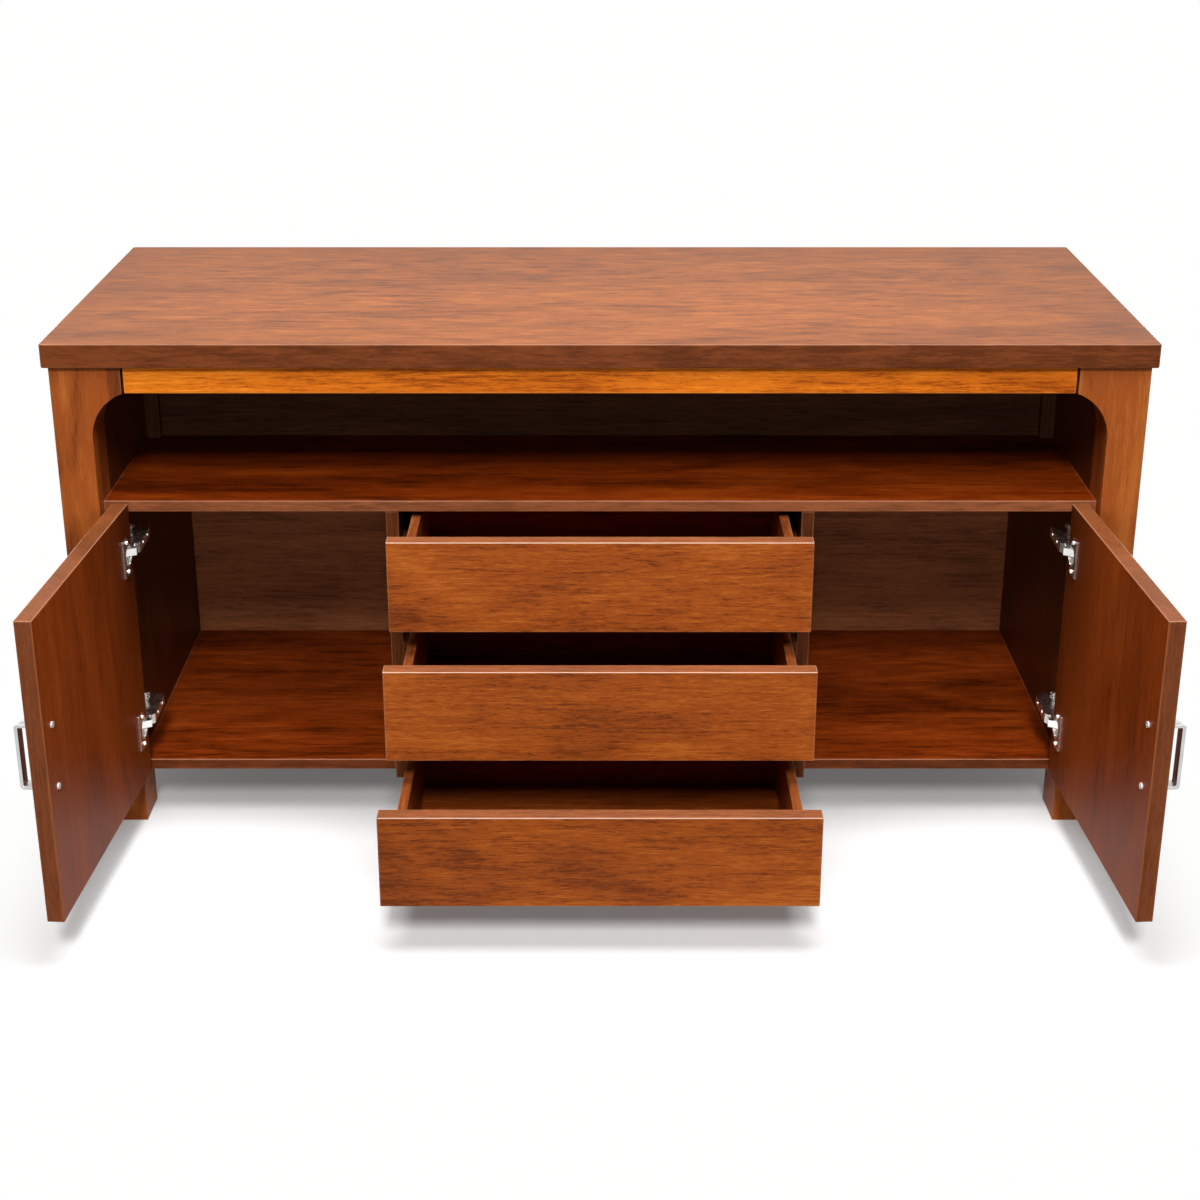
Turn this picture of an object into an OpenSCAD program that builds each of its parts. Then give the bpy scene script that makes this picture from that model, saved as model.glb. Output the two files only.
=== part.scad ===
// Low sideboard: two cupboards on concealed hinges either side of three drawers,
// with an open bay under a thick top. Units are millimetres.
// Origin: on the floor, at the middle of the whole width and depth that the sideboard
// takes up with its doors and drawers open as drawn.
// +X to the right as seen from the front, +Y to the back, +Z up.
// Doors and drawers are drawn at the openings they rest at.

/* [Carcass] */
// Width of the top
top_w = 1680; // [1500:10:1900]
// Depth of the top
top_d = 638; // [600:2:720]
// Thickness of the top
top_t = 37; // [25:1:45]
// Overall height
height = 812; // [780:2:860]
// How far the top stands out past the legs
overhang = 9; // [3:1:20]
// Width of a leg post
leg_w = 58; // [50:1:70]
// Depth of a leg
leg_d = 72; // [60:1:90]
// Reach of the haunch at the top of a front leg, inward from the post
haunch_reach = 49.8; // [40:1:60]
// Radius of the curve under the haunch
haunch_r = 76; // [60:1:90]
// Reach of the foot block, inward from the post
foot_reach = 30.4; // [22:1:34]
// Height of the foot block
foot_h = 78; // [60:1:78]
// Height of the rails under the top
rail_h = 43; // [36:1:50]
// Thickness of the rails under the top
rail_t = 28; // [20:1:32]
// Gap between the front rail and each haunch
rail_gap = 3.9; // [1:0.5:6]
// Thickness of the end panels
end_t = 22; // [18:1:30]
// Thickness of the boards that line the cupboards
lining_t = 20.3; // [18:0.5:24]
// Height of the shelf's upper face above the floor
shelf_z = 549; // [535:1:560]
// Thickness of the shelf and of the cupboard floors
board_t = 18; // [15:1:18]
// Thickness of the dividers beside the drawers
divider_t = 20; // [16:1:22]
// Thickness of the back panel
back_t = 6; // [4:1:10]
// Front face of the upper bay's back panel
bay_back_y = 348; // [300:2:420]
// Width of the corner cleats in the upper bay
cleat_w = 24; // [16:1:30]
// Thickness of the corner cleats in the upper bay
cleat_t = 12; // [8:1:18]

/* [Drawers] */
// Width of a drawer front
front_w = 634; // [600:2:640]
// Height of a drawer front
front_h = 145; // [140:1:147]
// Finger gap between one drawer front and the next
finger_gap = 16; // [14:1:18]
// Thickness of the drawer fronts and doors
front_t = 25; // [22:0.5:28]
// Gap between a drawer front and the edge of a door
front_gap = 3; // [2:0.5:6]
// Thickness of a drawer's sides and back
side_t = 14; // [12:0.5:16]
// Length of a drawer's sides behind its front
side_l = 334; // [300:2:420]
// Step from the top of a drawer front down to its sides
side_drop = 27; // [20:1:34]
// Step from the bottom of a drawer front up to its sides
side_lift = 8; // [5:1:14]
// Thickness of a drawer's bottom
tray_t = 4; // [3:0.5:6]
// How far the top drawer is pulled out
draw_1 = 143; // [0:1:388]
// How far the middle drawer is pulled out
draw_2 = 248; // [0:1:388]
// How far the bottom drawer is pulled out
draw_3 = 388; // [0:1:388]
// Height of a drawer slide
slide_h = 45; // [35:1:46]
// Width of a drawer slide
slide_w = 12.7; // [12.2:0.1:13.5]
// Length of a drawer slide's cabinet part
slide_l = 350; // [320:2:400]
// Thickness of the packing strip behind a slide
packer_t = 7.3; // [5:0.1:12]

/* [Doors] */
// Height of a door
door_h = 468; // [440:1:470]
// Angle that a door stands open
door_turn = 93.5; // [88:0.5:94]
// Angle that the visible hinge link turns, against the door
link_turn = 25; // [24:0.5:26]
// Diameter of the hinge cup
cup_d = 35; // [34.8:0.1:35.2]
// Distance of the upper hinge's centre from the top of the door
cup_from_top = 78.5; // [70:0.5:110]
// Distance of the lower hinge's centre from the bottom of the door
cup_from_low = 89.5; // [70:0.5:110]
// Height of the hinge arm
arm_h = 16; // [16:0.5:18]
// Distance between the two screws of a handle
handle_pitch = 96; // [80:1:128]
// Distance of a handle's centre line from the free edge
handle_inset = 33; // [30:1:45]
// How far a handle stands out from the door
handle_out = 26; // [22:1:34]
// Height of a handle's middle above the door's middle
handle_rise = 15.5; // [-40:0.5:40]
// Width of the handle strip
handle_w = 18; // [14:1:20]
// Thickness of the handle strip
handle_t = 5.3; // [5.2:0.1:7]

/* [Hidden] */
$fn = 48;

// Small sizes that go with a kind of joint or finish
arris = 1.2;
top_arris = 1.5;
front_arris = 1.5;
screw_fit = 0.05;
pin_fit = 0.05;
// How far a cut runs on past the piece that it cuts
cut = 1;

// Heights. The steps are small gaps under the shelf and round the doors.
front_step = 2;
door_step = 1;
divider_drop = 16;
under_top = height - top_t;
shelf_low = shelf_z - board_t;
drawer_pitch = front_h + finger_gap;
front_top = shelf_z - front_step;
door_top = shelf_z - door_step;
door_low = door_top - door_h;
floor_low = door_low - door_step;
floor_top = floor_low + board_t;
divider_low = floor_low - divider_drop;

// Widths, measured from the middle. A shut door laps over its divider.
door_lap = 15;
leg_out = top_w / 2 - overhang;
wall_x = leg_out - leg_w;
lining_x = wall_x - lining_t;
rail_half = wall_x - haunch_reach - rail_gap;
door_free_x = front_w / 2 + front_gap;
divider_out = door_free_x + door_lap;
divider_in = divider_out - divider_t;
drawer_out = divider_in - packer_t - slide_w;

// Depths, measured from the front faces of the front legs
seat_gap = 3;
lining_in = 16;
front_rail_in = 2;
rear_rail_in = 12;
back_gap = 1;
leg_back = top_d - 2 * overhang;
back_y = leg_back - leg_d - back_t - back_gap;
carcass_y = front_t + seat_gap;
lining_y = carcass_y + lining_in;

// Door and hinge. Points lie in plan, for the right door; the left one mirrors them.
// As it opens, the door's corner moves in from the lining and towards the front.
hinge_gap = 3.5;
corner_in = 18.7;
corner_forward = 6;
hinge_x = wall_x - hinge_gap;
cup_inset = 21.5;
cup_depth = 13.3;
cup_wall = 0.5;
bore_depth = cup_depth + cup_wall + 0.2;
pin_u = 14;
pin_v = 11;
pin_d = 2;
eye_r = 2;
link_t = 2;
link_h = 12;

function turned(p, a) = [p[0] * cos(a) - p[1] * sin(a), p[0] * sin(a) + p[1] * cos(a)];
function across(a, b, angle) =
    (a + b) / 2 + turned(b - a, 90) / (2 * tan(angle / 2));

corner_shut = [hinge_x, front_t];
corner_open = [lining_x - corner_in, front_t - corner_forward];
// The one point about which the door could turn from shut to open
swing = across(corner_shut, corner_open, door_turn);
// Link pin in the cup, shut and open, and the pin in the arm that suits both
pin_shut = [hinge_x - pin_u, front_t - pin_v];
pin_open = swing + turned(pin_shut - swing, door_turn);
arm_pin = across(pin_shut, pin_open, -link_turn);

hinge_zs = [door_low + cup_from_low, door_top - cup_from_top];
handle_z = (door_low + door_top) / 2 + handle_rise;

// The open door's free end is the foremost point, which sets the middle of the depth
door_end = swing + turned([door_free_x + front_arris, front_t - front_arris] - swing, door_turn);
middle_y = (leg_back + overhang + door_end[1] - front_arris) / 2;

wood_light = [0.62, 0.36, 0.2];
wood_mid = [0.5, 0.27, 0.15];
wood_dark = [0.34, 0.18, 0.12];
steel = [0.72, 0.72, 0.72];

// Plan of a board with its corners eased
module eased(w, h, r) {
    translate([r, 0]) square([w - 2 * r, h]);
    translate([0, r]) square([w, h - 2 * r]);
    for (x = [r, w - r], y = [r, h - r]) translate([x, y]) circle(r, $fn = 24);
}

// A board from one corner to the opposite one, its long edges eased along X
module board_x(from, to, r = arris) {
    size = to - from;
    translate([from[0], from[1], from[2]])
        rotate([90, 0, 90])
            linear_extrude(size[0]) eased(size[1], size[2], r);
}

// The same, eased along Z
module board_z(from, to, r = arris) {
    size = to - from;
    translate(from) linear_extrude(size[2]) eased(size[0], size[1], r);
}

// The same, with all twelve edges eased
module board_all(from, to, r = arris) {
    size = to - from;
    intersection() {
        board_x(from, to, r);
        board_z(from, to, r);
        translate([from[0], to[1], from[2]])
            rotate([90, 0, 0]) linear_extrude(size[1]) eased(size[0], size[2], r);
    }
}

module plain(from, to) {
    translate(from) cube(to - from);
}

// Moves a piece so that the origin lies at the middle of the depth
module placed() {
    translate([0, -middle_y, 0]) children();
}

module both() {
    children();
    mirror([1, 0, 0]) children();
}

module at_hinges() {
    for (z = hinge_zs) translate([0, 0, z]) children();
}

// Carries door pieces, drawn shut, to where the door stands open
module opened() {
    translate([swing[0], swing[1], 0])
        rotate([0, 0, door_turn])
            translate([-swing[0], -swing[1], 0]) children();
}

// Carries a link, drawn with the door shut, to its place with the door open
module link_opened(pin) {
    translate([pin[0], pin[1], 0])
        rotate([0, 0, -link_turn])
            translate([-pin[0], -pin[1], 0]) children();
}

module top_board() {
    board_all([-top_w / 2, -overhang, under_top], [top_w / 2, top_d - overhang, height], top_arris);
}

module front_rail_board() {
    board_x([-rail_half, front_rail_in, under_top - rail_h],
            [rail_half, front_rail_in + rail_t, under_top]);
}

module rear_rail_board() {
    plain([-wall_x, leg_back - rear_rail_in - rail_t, under_top - rail_h],
          [wall_x, leg_back - rear_rail_in, under_top]);
}

// Front of the right leg: post, curved haunch under the top and block at the foot
module leg_outline() {
    haunch_low = under_top - rail_h;
    arc_x = wall_x - haunch_r;
    arc_dy = sqrt(haunch_r * haunch_r - (haunch_r - haunch_reach) * (haunch_r - haunch_reach));
    difference() {
        union() {
            translate([wall_x, 0]) square([leg_w, under_top]);
            translate([wall_x - haunch_reach, haunch_low - arc_dy])
                square([haunch_reach + cut, under_top - haunch_low + arc_dy]);
        }
        translate([arc_x, haunch_low - arc_dy]) circle(haunch_r, $fn = 96);
    }
    translate([wall_x - foot_reach, 0]) square([foot_reach + cut, foot_h]);
}

module front_leg() {
    reach = max(haunch_reach, foot_reach) + 2 * arris;
    intersection() {
        translate([0, leg_d, 0]) rotate([90, 0, 0]) linear_extrude(leg_d) leg_outline();
        board_z([wall_x - reach, 0, 0], [leg_out, leg_d, under_top]);
    }
}

module rear_leg() {
    board_z([wall_x, leg_back - leg_d, 0], [leg_out, leg_back, under_top]);
}

module end_panel() {
    plain([wall_x, leg_d, divider_low], [wall_x + end_t, leg_back - leg_d, under_top]);
}

// Wall of the right cupboard, drilled for the hinge plate screws
module lining() {
    hole_l = plate_screw_l - wing_t + cut;
    difference() {
        plain([lining_x, lining_y, floor_low], [wall_x, back_y, shelf_low]);
        at_hinges() for (s = [-1, 1])
            translate([lining_x - hole_l, plate_screw_y, s * plate_screw_z])
                rotate([0, 90, 0]) cylinder(d = screw_d + 2 * screw_fit, h = 2 * hole_l);
    }
}

module shelf_board() {
    board_x([-wall_x, carcass_y, shelf_low], [wall_x, back_y, shelf_z]);
}

module divider() {
    board_z([divider_in, carcass_y, divider_low], [divider_out, back_y, shelf_low]);
}

module cupboard_floor() {
    board_x([divider_out, carcass_y, floor_low], [lining_x, back_y, floor_top]);
}

module back_board() {
    plain([-wall_x, back_y, divider_low], [wall_x, back_y + back_t, under_top]);
}

module bay_back_board() {
    plain([-wall_x, bay_back_y, shelf_z], [wall_x, bay_back_y + back_t, under_top]);
}

module corner_cleat() {
    plain([wall_x - cleat_w, bay_back_y - cleat_t, shelf_z], [wall_x, bay_back_y, under_top]);
}

function front_z(n) = front_top - front_h - (n - 1) * drawer_pitch;
function slide_z(n) = front_z(n) + side_lift + slide_rise + slide_h / 2;
function draw(n) = n == 1 ? draw_1 : n == 2 ? draw_2 : draw_3;
slide_rise = 10;
slide_y = carcass_y + 2;
slide_wall = 1.4;
slide_play = 1;
// How near the lips of the outer and middle members come to the drawer's side
outer_lip_gap = 3;
middle_lip_gap = 2;
inner_lip = 7.2;
// How far a packing strip stands out round its slide
packer_rim = 3;
packer_end = 10;
// How deep a drawer's bottom sits in the front and the sides
tray_seat = 6;

module pulled(n, share = 1) {
    translate([0, -draw(n) * share, 0]) children();
}

// One C-shaped member of a slide: its web stands at x = web, its lips reach towards x = lip
module slide_member(web, lip, half, from_y, length, z) {
    low = min(web, lip);
    wide = abs(lip - web);
    turn = lip > web ? 0 : wide - slide_wall;
    translate([low, from_y, z]) {
        translate([turn, 0, -half]) cube([slide_wall, length, 2 * half]);
        for (s = [-1, 1])
            translate([0, 0, s > 0 ? half - slide_wall : -half]) cube([wide, length, slide_wall]);
    }
}

module slide_packer(n) {
    plain([divider_in - packer_t, carcass_y, slide_z(n) - slide_h / 2 - packer_rim],
          [divider_in, carcass_y + slide_l + packer_end, slide_z(n) + slide_h / 2 + packer_rim]);
}

module cabinet_slide(n) {
    slide_member(divider_in - packer_t, drawer_out + outer_lip_gap, slide_h / 2,
                 slide_y, slide_l, slide_z(n));
}

module middle_slide(n) {
    web = divider_in - packer_t - slide_wall - slide_play;
    slide_member(web, drawer_out + middle_lip_gap, slide_h / 2 - slide_wall - slide_play / 2,
                 slide_y, slide_l, slide_z(n));
}

module drawer_slide(n) {
    slide_member(drawer_out, drawer_out + inner_lip, slide_h / 2 - 2 * slide_wall - slide_play,
                 slide_y, side_l - packer_end, slide_z(n));
}

module drawer_front(n) {
    z = front_z(n);
    difference() {
        board_all([-front_w / 2, 0, z], [front_w / 2, front_t, z + front_h], front_arris);
        plain([-drawer_out + side_t - tray_seat, front_t - tray_seat, z + side_lift],
              [drawer_out - side_t + tray_seat, front_t + cut, z + side_lift + tray_t]);
    }
}

module drawer_side(n) {
    z = front_z(n);
    difference() {
        plain([drawer_out - side_t, front_t, z + side_lift],
              [drawer_out, front_t + side_l, z + front_h - side_drop]);
        plain([drawer_out - side_t - cut, front_t - cut, z + side_lift],
              [drawer_out - side_t + tray_seat, front_t + side_l + cut, z + side_lift + tray_t]);
    }
}

module drawer_back(n) {
    z = front_z(n);
    plain([-drawer_out + side_t, front_t + side_l - side_t, z + side_lift + tray_t],
          [drawer_out - side_t, front_t + side_l, z + front_h - side_drop]);
}

module drawer_tray(n) {
    z = front_z(n);
    plain([-drawer_out + side_t - tray_seat, front_t - tray_seat, z + side_lift],
          [drawer_out - side_t + tray_seat, front_t + side_l, z + side_lift + tray_t]);
}

screw_d = 4;
plate_screw_in = 37;
plate_screw_y = lining_y + plate_screw_in;
plate_screw_z = 16;
plate_screw_l = 18;
wing_t = 6;
wing_r = 5.5;
plate_t = 3;
arm_x = arm_pin[0] - 8;
arm_t = 1.5;
arm_back = 108;
plate_front = lining_y + 4;
plate_back = arm_back + 4;
block_w = arm_h - 2 * arm_t - 0.4;
arm_nose_r = 3.6;
arm_gap = 0.9;
arm_screw_in = 12;
arm_screw_pitch = 32;
arm_screw_ys = [lining_y + arm_screw_in, lining_y + arm_screw_in + arm_screw_pitch];
arm_screw_d = 6;
arm_screw_l = 9;

// Plate on the cupboard wall, with a block under the arm and a wing above and below
module hinge_plate() {
    block_x = arm_x + arm_t + 1;
    difference() {
        union() {
            translate([lining_x - plate_t, plate_front, -arm_h / 2])
                cube([plate_t, plate_back - plate_front, arm_h]);
            translate([lining_x, plate_screw_y, 0]) rotate([0, -90, 0]) linear_extrude(wing_t) {
                square([2 * plate_screw_z, 2 * wing_r - 1], center = true);
                for (s = [-1, 1]) translate([s * plate_screw_z, 0]) circle(wing_r);
            }
            translate([block_x, plate_front + 2, -block_w / 2])
                cube([lining_x - plate_t - block_x + 1, arm_back - plate_front - 8, block_w]);
        }
        for (s = [-1, 1])
            translate([lining_x - wing_t - 1, plate_screw_y, s * plate_screw_z])
                rotate([0, 90, 0]) cylinder(d = screw_d + 2 * screw_fit, h = wing_t + 2);
        for (y = arm_screw_ys) translate([block_x - 1, y, 0])
            rotate([0, 90, 0]) cylinder(d = arm_screw_d, h = arm_screw_l);
    }
}

// Side of the arm: its nose slopes down to the link's pin, its rear end is rounded
module arm_outline() {
    cheek_x = lining_x - wing_t - arm_gap;
    polygon([
        [arm_x, arm_pin[1] + 1.5], [arm_pin[0] - arm_nose_r + 0.2, arm_pin[1] - 3.3],
        [arm_pin[0], arm_pin[1] - 2], [arm_pin[0] + arm_nose_r - 0.4, arm_pin[1]],
        [arm_pin[0] + 4, lining_y - 1], [cheek_x, lining_y + 6],
        [cheek_x, arm_back], [arm_x + 4, arm_back], [arm_x, arm_back - 6]
    ]);
    translate(arm_pin) circle(arm_nose_r);
}

// Channel that slides over the block and carries the link pin at its nose
module hinge_arm() {
    inner = arm_h - 2 * arm_t;
    difference() {
        translate([0, 0, -arm_h / 2]) linear_extrude(arm_h) arm_outline();
        // Hollow between the cheeks, open towards the wall and, past the nose, to the front
        translate([0, 0, -inner / 2]) linear_extrude(inner) polygon([
            [arm_x + arm_t, arm_pin[1] + 2.3], [arm_pin[0] - arm_nose_r + 1, arm_pin[1] - 2.4],
            [arm_pin[0] - arm_nose_r + 1, arm_pin[1] - 20], [lining_x, arm_pin[1] - 20],
            [lining_x, arm_back - arm_t], [arm_x + 5, arm_back - arm_t], [arm_x + arm_t, arm_back - 5]
        ]);
        for (y = arm_screw_ys) translate([arm_x - 1, y, 0])
            rotate([0, 90, 0]) cylinder(d = arm_screw_d + 0.4, h = 4);
        // Wings pass under the cheeks
        translate([lining_x - wing_t - arm_gap - 0.1, plate_screw_y - wing_r - 1, -arm_h])
            cube([20, 2 * wing_r + 2, 2 * arm_h]);
    }
    translate([arm_pin[0], arm_pin[1], 0]) cylinder(d = pin_d, h = arm_h - arm_t, center = true);
}

// Set screws that hold and adjust the arm on its block
module arm_screws() {
    for (y = arm_screw_ys) translate([arm_x - 0.6, y, 0]) rotate([0, 90, 0]) difference() {
        cylinder(d = arm_screw_d - 0.1, h = arm_screw_l);
        for (a = [45, 135]) rotate([0, 0, a])
            translate([-2.1, -0.5, -1]) cube([4.2, 1, 2.2]);
    }
}

// Outline of a strip of even thickness along a line of points, its corners mitred
function unit(v) = v / norm(v);
function side(a, b) = unit(turned(b - a, 90));
function mitre(a, b, c) = (side(a, b) + side(b, c)) / (1 + side(a, b) * side(b, c));
function strip(p, t) =
    let (
        n = len(p) - 1,
        m = [for (i = [0:n])
            i == 0 ? side(p[0], p[1]) : i == n ? side(p[n - 1], p[n]) : mitre(p[i - 1], p[i], p[i + 1])]
    )
    concat([for (i = [0:n]) p[i] + m[i] * t / 2], [for (i = [n:-1:0]) p[i] - m[i] * t / 2]);

// Cranked link: from the arm's pin, down the cup's far wall and across to the cup's pin
module outer_link() {
    mouth = arm_pin + [2.1, -6.2];
    crank = arm_pin + [2.4, -17.1];
    linear_extrude(link_h, center = true) difference() {
        union() {
            polygon(strip([arm_pin, mouth, crank, pin_shut], link_t));
            translate(arm_pin) circle(eye_r + 0.2);
            translate(pin_shut) circle(eye_r);
        }
        for (p = [arm_pin, pin_shut]) translate(p) circle(d = pin_d + 2 * pin_fit);
    }
}

rim_t = 1;
flange_t = 2.2;
flange_half = 31;
flange_from = 23;
flange_to = 45;
flange_screw_z = 24;
flange_screw_u = cup_inset + 6;
cup_x = hinge_x - cup_inset;
cup_screw_d = 3.5;
cup_screw_l = 14;

// Cup with its flange and the pin that the link turns on
module hinge_cup() {
    outer_d = cup_d - 0.2;
    difference() {
        union() {
            translate([cup_x, front_t, 0]) rotate([90, 0, 0])
                cylinder(d = outer_d, h = cup_depth + cup_wall);
            translate([cup_x, front_t + rim_t, 0]) rotate([90, 0, 0])
                cylinder(d = cup_d + 2.4, h = rim_t);
            translate([hinge_x - flange_to, front_t + flange_t, -flange_half]) rotate([90, 0, 0])
                linear_extrude(flange_t) eased(flange_to - flange_from, 2 * flange_half, 1.6);
        }
        translate([cup_x, front_t + flange_t + 1, 0]) rotate([90, 0, 0])
            cylinder(d = outer_d - 2 * cup_wall, h = cup_depth + flange_t + 1);
        for (s = [-1, 1]) translate([hinge_x - flange_screw_u, front_t, s * flange_screw_z])
            rotate([90, 0, 0]) cylinder(d = cup_screw_d + 2 * screw_fit, h = 6, center = true);
    }
    pin_half = sqrt(pow(cup_d / 2 - 0.4, 2) - pow(cup_inset - pin_u, 2));
    translate([pin_shut[0], pin_shut[1], 0]) cylinder(d = pin_d, h = 2 * pin_half, center = true);
}

handle_x = door_free_x + handle_inset;
handle_screw_d = 3.4;
handle_screw_in = 12;
handle_bend = 5.5;
handle_fillet = 1.5;

module door() {
    difference() {
        board_all([door_free_x, 0, door_low], [hinge_x, front_t, door_top], front_arris);
        at_hinges() {
            translate([cup_x, front_t + cut, 0]) rotate([90, 0, 0])
                cylinder(d = cup_d, h = bore_depth + cut);
            for (s = [-1, 1])
                translate([hinge_x - flange_screw_u, front_t + cut, s * flange_screw_z])
                    rotate([90, 0, 0]) cylinder(d = cup_screw_d + 2 * screw_fit, h = cup_screw_l + cut);
        }
        for (s = [-1, 1])
            translate([handle_x, front_t + cut, handle_z + s * handle_pitch / 2])
                rotate([90, 0, 0]) cylinder(d = handle_screw_d + 2 * screw_fit, h = front_t + 2 * cut);
    }
}

// Flat strip bent to a U
module handle_outline() {
    half = handle_pitch / 2 + handle_t / 2;
    difference() {
        translate([-handle_out, -half]) union() {
            eased(handle_out, 2 * half, handle_bend);
            translate([handle_out / 2, 0]) square([handle_out / 2, 2 * half]);
        }
        translate([-handle_out + handle_t, -half + handle_t])
            eased(handle_out, 2 * (half - handle_t), handle_fillet);
    }
}

module handle() {
    difference() {
        translate([handle_x - handle_w / 2, 0, handle_z])
            rotate([90, 0, 90]) linear_extrude(handle_w) handle_outline();
        for (s = [-1, 1]) translate([handle_x, cut, handle_z + s * handle_pitch / 2])
            rotate([90, 0, 0]) cylinder(d = handle_screw_d + 2 * screw_fit, h = handle_screw_in + cut);
    }
}

// Round-headed screw along -Z with its head's underside at the origin
module screw(d, l, head_d, head_h, slot = 1) {
    translate([0, 0, -l]) cylinder(d = d, h = l);
    difference() {
        cylinder(d = head_d, h = head_h);
        for (a = [0, 90]) rotate([0, 0, a])
            translate([-head_d * 0.3, -slot / 2, head_h / 2]) cube([head_d * 0.6, slot, head_h]);
    }
}

module handle_screws() {
    for (s = [-1, 1]) translate([handle_x, front_t, handle_z + s * handle_pitch / 2])
        rotate([-90, 0, 0]) screw(handle_screw_d, front_t + handle_screw_in - cut, 9.5, 2.4);
}

module cup_screws() {
    at_hinges() for (s = [-1, 1])
        translate([hinge_x - flange_screw_u, front_t + flange_t, s * flange_screw_z])
            rotate([-90, 0, 0]) screw(cup_screw_d, cup_screw_l, 7, 1.8);
}

module plate_screws_right() {
    at_hinges() for (s = [-1, 1])
        translate([lining_x - wing_t, plate_screw_y, s * plate_screw_z])
            rotate([0, -90, 0]) screw(screw_d, plate_screw_l, 8, 2);
}

// The pieces by name

module top() { color(wood_mid) placed() top_board(); }
module front_rail() { color([0.66, 0.42, 0.2]) placed() front_rail_board(); }
module rear_rail() { color(wood_mid) placed() rear_rail_board(); }
module leg_front_right() { color(wood_light) placed() front_leg(); }
module leg_front_left() { color(wood_light) placed() mirror([1, 0, 0]) front_leg(); }
module leg_rear_right() { color(wood_light) placed() rear_leg(); }
module leg_rear_left() { color(wood_light) placed() mirror([1, 0, 0]) rear_leg(); }
module end_panel_right() { color(wood_mid) placed() end_panel(); }
module end_panel_left() { color(wood_mid) placed() mirror([1, 0, 0]) end_panel(); }
module lining_right() { color(wood_dark) placed() lining(); }
module lining_left() { color(wood_dark) placed() mirror([1, 0, 0]) lining(); }
module shelf() { color(wood_mid) placed() shelf_board(); }
module divider_right() { color(wood_mid) placed() divider(); }
module divider_left() { color(wood_mid) placed() mirror([1, 0, 0]) divider(); }
module floor_right() { color(wood_mid) placed() cupboard_floor(); }
module floor_left() { color(wood_mid) placed() mirror([1, 0, 0]) cupboard_floor(); }
module back_panel() { color(wood_dark) placed() back_board(); }
module bay_back() { color([0.4, 0.28, 0.22]) placed() bay_back_board(); }
module corner_cleats() { color(wood_dark) placed() both() corner_cleat(); }
module slide_packers() { color(wood_mid) placed() both() for (n = [1:3]) slide_packer(n); }
module cabinet_slides() { color(steel) placed() both() for (n = [1:3]) cabinet_slide(n); }
module hinge_plates_right() { color(steel) placed() at_hinges() hinge_plate(); }
module hinge_plates_left() { color(steel) placed() mirror([1, 0, 0]) at_hinges() hinge_plate(); }
module hinge_arms_right() { color(steel) placed() at_hinges() hinge_arm(); }
module arm_screws_right() { color(steel) placed() at_hinges() arm_screws(); }
module hinge_arms_left() { color(steel) placed() mirror([1, 0, 0]) at_hinges() hinge_arm(); }
module arm_screws_left() { mirror([1, 0, 0]) arm_screws_right(); }
module plate_screws() { color(steel) placed() both() plate_screws_right(); }
module middle_slides(n) { color(steel) placed() pulled(n, 0.5) both() middle_slide(n); }
module front_piece(n) { color(wood_mid) placed() pulled(n) drawer_front(n); }
module side_pieces(n) { color(wood_light) placed() pulled(n) both() drawer_side(n); }
module back_piece(n) { color(wood_mid) placed() pulled(n) drawer_back(n); }
module tray_piece(n) { color(wood_mid) placed() pulled(n) drawer_tray(n); }
module drawer_slides(n) { color(steel) placed() pulled(n) both() drawer_slide(n); }
module outer_links_right() { color(steel) placed() at_hinges() link_opened(arm_pin) outer_link(); }
module outer_links_left() { mirror([1, 0, 0]) outer_links_right(); }
module door_right() { color(wood_dark) placed() opened() door(); }
module door_left() { mirror([1, 0, 0]) door_right(); }
module hinge_cups_right() { color(steel) placed() opened() at_hinges() hinge_cup(); }
module hinge_cups_left() { mirror([1, 0, 0]) hinge_cups_right(); }
module cup_screws_right() { color(steel) placed() opened() cup_screws(); }
module cup_screws_left() { mirror([1, 0, 0]) cup_screws_right(); }
module handle_right() { color(steel) placed() opened() handle(); }
module handle_left() { mirror([1, 0, 0]) handle_right(); }
module handle_screws_right() { color(steel) placed() opened() handle_screws(); }
module handle_screws_left() { mirror([1, 0, 0]) handle_screws_right(); }

top();
front_rail();
rear_rail();
leg_front_left();
leg_front_right();
leg_rear_left();
leg_rear_right();
end_panel_left();
end_panel_right();
lining_left();
lining_right();
shelf();
divider_left();
divider_right();
floor_left();
floor_right();
back_panel();
bay_back();
corner_cleats();
slide_packers();
cabinet_slides();
hinge_plates_left();
hinge_plates_right();
hinge_arms_left();
hinge_arms_right();
arm_screws_left();
arm_screws_right();
plate_screws();
middle_slides(1);  // middle_slides_1
middle_slides(2);  // middle_slides_2
middle_slides(3);  // middle_slides_3
front_piece(1);  // drawer_front_1
front_piece(2);  // drawer_front_2
front_piece(3);  // drawer_front_3
side_pieces(1);  // drawer_sides_1
side_pieces(2);  // drawer_sides_2
side_pieces(3);  // drawer_sides_3
back_piece(1);  // drawer_back_1
back_piece(2);  // drawer_back_2
back_piece(3);  // drawer_back_3
tray_piece(1);  // drawer_tray_1
tray_piece(2);  // drawer_tray_2
tray_piece(3);  // drawer_tray_3
drawer_slides(1);  // drawer_slides_1
drawer_slides(2);  // drawer_slides_2
drawer_slides(3);  // drawer_slides_3
outer_links_left();
outer_links_right();
door_left();
door_right();
hinge_cups_left();
hinge_cups_right();
cup_screws_left();
cup_screws_right();
handle_left();
handle_right();
handle_screws_left();
handle_screws_right();
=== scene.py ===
"""A low sideboard, its doors and drawers open, dressed in stained wood and nickel."""
import logging
import math
from dataclasses import dataclass
from enum import Enum
from typing import Any, Callable

import bmesh
import bpy
from mathutils import Matrix, Vector


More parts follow.
